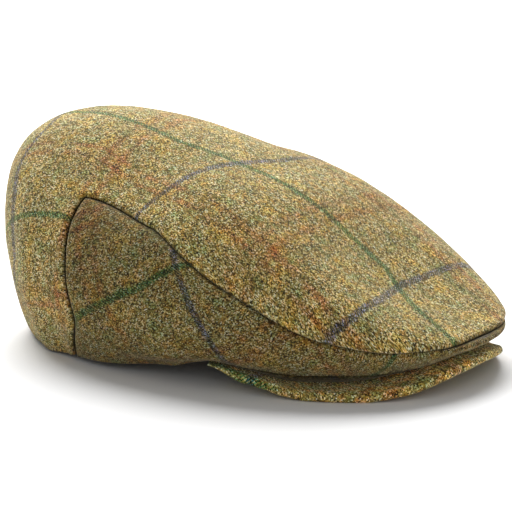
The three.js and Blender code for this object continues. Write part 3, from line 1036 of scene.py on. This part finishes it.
# %% Patches in the ground
OLIVE_PATCHES = [(0.34, (0.72, 0.88, 0.66)), (0.48, (1.0, 1.0, 1.0)), (0.64, (1.14, 1.04, 0.62))]
RUSTY_PATCHES = [(0.36, (0.78, 0.95, 0.95)), (0.50, (1.0, 1.0, 1.0)), (0.64, (1.15, 0.78, 0.52))]
DARKEST_CLOUD, CLOUD_DEPTH = 0.66, 0.68
OLIVE_SCALE, RUST_SCALE, CLOUD_SCALE = 85.0, 250.0, 55.0


def patches(wires, flat, ground, brownness):
    """The ground with its patches, and the clouds that shade it."""
    olive = wires.ramp(wires.noise(flat, OLIVE_SCALE, 3.0, 0.65), OLIVE_PATCHES)
    toned = wires.mix(1.0, ground, olive, "MULTIPLY")
    rusty = wires.ramp(wires.noise(flat, RUST_SCALE, 2.0, 0.6), RUSTY_PATCHES)
    toned = wires.mix(brownness, toned, rusty, "MULTIPLY")
    cloud = wires.noise(flat, CLOUD_SCALE, 2.0)
    light = wires.math("ADD", DARKEST_CLOUD, wires.math("MULTIPLY", cloud, CLOUD_DEPTH))
    return wires.scaled(toned, light), cloud


print("The clouds take the light from", DARKEST_CLOUD, "to", DARKEST_CLOUD + CLOUD_DEPTH)

# The twill breaks each line into short dashes, as it hides a yarn at some of its crossings, and the
# rust pairs fade where a cloud is dark. Solid lines would look printed.

# %% Dyes of the check
GREEN_WIDTH, BLUE_WIDTH = 4.2 * MM, 4.4 * MM
FADE_FROM, FADE_STEEP = 0.30, 3.0
WARM_HALO = (1.02, 0.84, 0.64, 1)
DYES = [
    ("green", "Around Pair", 0.45, WARM_HALO),
    ("blue", "Around Pair", 0.45, WARM_HALO),
    ("green", "Pair", 0.78, (0.72, 0.38, 0.40, 1)),
    ("blue", "Pair", 0.72, (0.76, 0.42, 0.42, 1)),
    ("green", "Single", 1.0, (0.16, 0.46, 0.34, 1)),
    ("blue", "Single", 1.0, (0.30, 0.36, 1.00, 1)),
]


def check_lines(wires, distance, place, width, repeat):
    """The masks of the lines that run one way."""
    lines = wires.add("ShaderNodeGroup")
    lines.node_tree = OVERCHECK
    wires.feed(lines, "Distance", distance)
    wires.feed(lines, "Line At", place)
    wires.feed(lines, "Repeat", repeat)
    wires.feed(lines, "Line Width", width)
    return lines.outputs


def dyed(wires, colour, masks, dashes, faded):
    """The ground with the lines of the check dyed into it."""
    for way, kind, strength, dye in DYES:
        amount = wires.math("MULTIPLY", masks[way][kind], strength)
        if kind != "Around Pair":
            amount = wires.math("MULTIPLY", amount, dashes)
        if kind != "Single":
            amount = wires.math("MULTIPLY", amount, faded)
        colour = wires.mix(amount, colour, dye, "MULTIPLY")
    return colour


print("Dyes in the check:", len(DYES))

# %% [markdown] The twill shows as fine slanting ribs.

# %% Twill and lines
TWILL = (("Scale", 330.0), ("Distortion", 1.2), ("Detail", 1.0), ("Detail Scale", 2.0))
JITTER, JITTER_SCALE = 2.4 * MM, 520.0


def twill_of(wires, flat):
    """Slanting ribs of the twill."""
    twill = wires.add("ShaderNodeTexWave", wave_type="BANDS", bands_direction="DIAGONAL")
    wires.feed(twill, "Vector", flat)
    for word, value in TWILL:
        wires.feed(twill, word, value)
    return twill.outputs[1]


def both_ways(wires, flat, start):
    """The masks of the green lines along the cloth and of the blue lines across it."""
    checked = wires.add("ShaderNodeSeparateXYZ")
    wires.feed(checked, 0, start["Check At"])
    wobble = wires.math("SUBTRACT", wires.noise(flat, JITTER_SCALE, 1.0), 0.5)
    jitter = wires.math("MULTIPLY", wobble, JITTER)
    across = wires.math("ADD", checked.outputs[1], jitter)
    along = wires.math("ADD", checked.outputs[0], jitter)
    return {
        "green": check_lines(wires, across, start["Green Line At"], GREEN_WIDTH, start["Repeat"]),
        "blue": check_lines(wires, along, start["Blue Line At"], BLUE_WIDTH, start["Repeat"]),
    }


print("The lines are uneven by up to", JITTER / 2 / MM, "mm")

# %% [markdown]
# All of it comes together in one group. At a seam the cloth falls into its own shadow, and that shadow is
# painted into the colour; the third coordinate says how deep. The group gives out a colour, a roughness
# and a height for the bump.

# %% Tweed group
DASH_TWILL, DASH_YARN, DASH_LEAST = 0.8, 0.3, 0.25
SEAM_SHADE_COLOUR, SEAM_SHADE_STRENGTH, SEAM_FIBRES, SEAM_LEAST = (0.012, 0.009, 0.004, 1), 0.78, 0.7, 0.45
ROUGH_LEAST, ROUGH_FIBRES = 0.82, 0.16
HIGH_FLECK, HIGH_FIBRES, HIGH_TWILL = 0.45, 0.5, 0.3


def tweed_group():
    """The whole cloth: yarns, patches, twill, check and the shade of the seams."""
    group = bpy.data.node_groups.new("Tweed cloth", "ShaderNodeTree")
    socket(group, "Cloth At", "NodeSocketVector")
    socket(group, "Check At", "NodeSocketVector")
    socket(group, "Green Line At", "NodeSocketFloat")
    socket(group, "Blue Line At", "NodeSocketFloat")
    socket(group, "Repeat", "NodeSocketFloat", value=CHECK_REPEAT)
    socket(group, "Brownness", "NodeSocketFloat", value=0.4)
    socket(group, "Painted Light Scale", "NodeSocketFloat", value=1.0)
    socket(group, "Color", "NodeSocketColor", "OUTPUT")
    socket(group, "Roughness", "NodeSocketFloat", "OUTPUT")
    socket(group, "Height", "NodeSocketFloat", "OUTPUT")
    wires = Wires(group)
    start = wires.add("NodeGroupInput").outputs
    end = wires.add("NodeGroupOutput")
    parts = wires.add("ShaderNodeSeparateXYZ")
    wires.feed(parts, 0, start["Cloth At"])
    along, across, seam = parts.outputs
    plane = wires.add("ShaderNodeCombineXYZ")
    wires.feed(plane, 0, along)
    wires.feed(plane, 1, across)
    flat = plane.outputs[0]

    ground, fleck, hue_draw, fibres = yarns(wires, flat)
    toned, cloud = patches(wires, flat, ground, start["Brownness"])
    twill = twill_of(wires, flat)
    dashes = wires.math("ADD", wires.math("MULTIPLY", twill, DASH_TWILL), DASH_LEAST)
    dashes = wires.math("ADD", dashes, wires.math("MULTIPLY", hue_draw, DASH_YARN), clamp=True)
    bright = wires.math("SUBTRACT", cloud, FADE_FROM)
    faded = wires.math("MULTIPLY", bright, FADE_STEEP, clamp=True)
    colour = dyed(wires, toned, both_ways(wires, flat, start), dashes, faded)

    uneven = wires.math("ADD", wires.math("MULTIPLY", fibres, SEAM_FIBRES), SEAM_LEAST)
    # painted shade: near a seam the colour is mixed towards near black, more where the third coordinate is
    # high
    painted_seam_shade = wires.math("MULTIPLY", seam, uneven, clamp=True)
    shaded = wires.mix(wires.math("MULTIPLY", painted_seam_shade, SEAM_SHADE_STRENGTH), colour, SEAM_SHADE_COLOUR)
    # the colour is scaled by each cloth's painted light, which paints the side darker and the peak lighter
    wires.feed(end, "Color", wires.scaled(shaded, start["Painted Light Scale"]))
    rough = wires.math("ADD", ROUGH_LEAST, wires.math("MULTIPLY", fibres, ROUGH_FIBRES))
    wires.feed(end, "Roughness", rough)
    height = wires.plus(fleck, HIGH_FLECK, fibres, HIGH_FIBRES)
    height = wires.math("ADD", height, wires.math("MULTIPLY", twill, HIGH_TWILL))
    wires.feed(end, "Height", height)
    return group


TWEED = tweed_group()
print("Built the group", TWEED.name, "with", len(TWEED.nodes), "nodes")

# %% [markdown]
# Wool scatters light at its fibre ends, so each material has some sheen, a high roughness and little
# specular. The values that are the same all over are set on the shader's own sockets. Each cloth's colour
# is also scaled by painted light: the side is painted darker and the peak lighter than the top, as the
# photograph shows them.

# %% Materials of the three cloths
WEAVE_DEPTH, WEAVE_STRENGTH = 0.7 * MM, 0.4


def tweed_material(name, green_at, blue_at, brownness, painted_light):
    """The tweed with its check laid at its own place, as each piece is cut from another spot."""
    material = bpy.data.materials.new(name)
    material.use_nodes = True
    wires = Wires(material.node_tree)
    shader = material.node_tree.nodes["Principled BSDF"]
    place = wires.add("ShaderNodeAttribute", attribute_type="GEOMETRY", attribute_name="cloth_at")
    cloth = wires.add("ShaderNodeGroup")
    cloth.node_tree = TWEED
    wires.feed(cloth, "Cloth At", place.outputs["Vector"])
    check = wires.add("ShaderNodeAttribute", attribute_type="GEOMETRY", attribute_name="check_at")
    wires.feed(cloth, "Check At", check.outputs["Vector"])
    wires.feed(cloth, "Green Line At", green_at)
    wires.feed(cloth, "Blue Line At", blue_at)
    wires.feed(cloth, "Brownness", brownness)
    wires.feed(cloth, "Painted Light Scale", painted_light)
    weave = wires.add("ShaderNodeBump")
    wires.feed(weave, "Height", cloth.outputs["Height"])
    wires.feed(weave, "Strength", WEAVE_STRENGTH)
    wires.feed(weave, "Distance", WEAVE_DEPTH)
    wires.feed(shader, "Normal", weave.outputs[0])
    wires.feed(shader, "Base Color", cloth.outputs["Color"])
    wires.feed(shader, "Roughness", cloth.outputs["Roughness"])
    shader.inputs["Specular IOR Level"].default_value = 0.15
    shader.inputs["Sheen Weight"].default_value = 0.2
    shader.inputs["Sheen Roughness"].default_value = 0.38
    shader.inputs["Sheen Tint"].default_value = (0.9, 0.82, 0.6, 1)
    return material


# the last number is painted light: painted shade on the side and on the band under it, painted light on
# the peak
top_tweed = tweed_material("top tweed", 0.0, BLUE_AT, brownness=0.5, painted_light=1.05)
side_tweed = tweed_material("side tweed", 135.5 * MM, -123.5 * MM, brownness=0.6, painted_light=0.62)
peak_tweed = tweed_material("peak tweed", -81.5 * MM, 57 * MM, brownness=0.8, painted_light=1.6)
for piece, tweed in (
    (top_cloth, top_tweed),
    (side_right, side_tweed),
    (side_left, side_tweed),
    (strip_under, side_tweed),
    (peak_cloth, peak_tweed),
):
    piece.data.materials.append(tweed)
print("Materials:", [material.name for material in bpy.data.materials])

# %% [markdown]
# ## Floor, light and camera
# The cap stands on a plain pale floor. It is far wider than the frame, so that no edge of it shows.

# %% Floor
FLOOR, FLOOR_GREY = 7.0, 0.78
floor_mesh = bpy.data.meshes.new("floor")
floor_mesh.from_pydata(
    [(-FLOOR, -FLOOR, 0), (FLOOR, -FLOOR, 0), (FLOOR, FLOOR, 0), (-FLOOR, FLOOR, 0)], [], [(0, 1, 2, 3)]
)
floor = bpy.data.objects.new("floor", floor_mesh)
bpy.context.collection.objects.link(floor)
paper = bpy.data.materials.new("pale floor")
paper.use_nodes = True
paper_shader = paper.node_tree.nodes["Principled BSDF"]
paper_shader.inputs["Base Color"].default_value = (FLOOR_GREY, FLOOR_GREY, FLOOR_GREY, 1)
paper_shader.inputs["Roughness"].default_value = 0.9
floor_mesh.materials.append(paper)
print("The floor is", 2 * FLOOR, "m wide")

# %% [markdown]
# The main light is large, so its shadows are soft, and it stands a little behind the cap. A weak fill
# lightens the shade on the near side, and a third light keeps the far floor as pale as the near one.

# %% Light
SKY = 0.4
world = bpy.data.worlds.new("studio")
world.use_nodes = True
world.node_tree.nodes["Background"].inputs["Color"].default_value = (1, 1, 1, 1)
world.node_tree.nodes["Background"].inputs["Strength"].default_value = SKY
bpy.context.scene.world = world


def soft_light(name, place, size, power, aim=(0, 0, 0.05)):
    """A round lamp, with its place and aim in metres and its power in watts."""
    lamp = bpy.data.lights.new(name, "AREA")
    lamp.shape = "DISK"
    lamp.size = size
    lamp.energy = power
    holder = bpy.data.objects.new(name, lamp)
    holder.location = place
    holder.rotation_euler = (Vector(aim) - Vector(place)).to_track_quat("-Z", "Y").to_euler()
    bpy.context.collection.objects.link(holder)
    return holder


soft_light("overhead", (-0.9, 0.9, 1.42), 2.1, 98)
soft_light("front fill", (0.9, -1.5, 0.7), 1.2, 4)
soft_light("far floor", (-1.5, 2.3, 1.3), 1.2, 45, aim=(-1.8, 2.7, 0))
print("Lights:", [light.name for light in bpy.data.lights])

# %% [markdown]
# The camera looks from the front quarter and a little above. Its distance sets how strong the
# perspective is, the lens how large the cap comes out, and the small shift where it is in the frame.

# %% Camera
# the frame's width and the place of the cap's middle in it, in pixels
FRAME, CAP_ACROSS, CAP_DOWN = 512, 247, 249
TARGET = Vector((SHIFT, 0, 50 * MM))
AZIMUTH, ELEVATION, DISTANCE, PIXELS_PER_MM = 34.0, 12.0, 0.95, 1.93
a, e = math.radians(AZIMUTH), math.radians(ELEVATION)
eye = TARGET + DISTANCE * Vector((math.sin(a) * math.cos(e), -math.cos(a) * math.cos(e), math.sin(e)))
lens = bpy.data.cameras.new("camera")
lens.sensor_width = 36
lens.lens = PIXELS_PER_MM * DISTANCE / MM / FRAME * lens.sensor_width
lens.shift_x = (FRAME / 2 - CAP_ACROSS) / FRAME
lens.shift_y = (CAP_DOWN - FRAME / 2) / FRAME
camera = bpy.data.objects.new("camera", lens)
camera.location = eye
camera.rotation_euler = (TARGET - eye).to_track_quat("-Z", "Y").to_euler()
bpy.context.collection.objects.link(camera)
bpy.context.scene.camera = camera
bpy.context.scene.view_settings.view_transform = "Standard"
print("Camera at", [round(v, 3) for v in eye], "with a lens of", round(lens.lens, 1))

# %% [markdown]
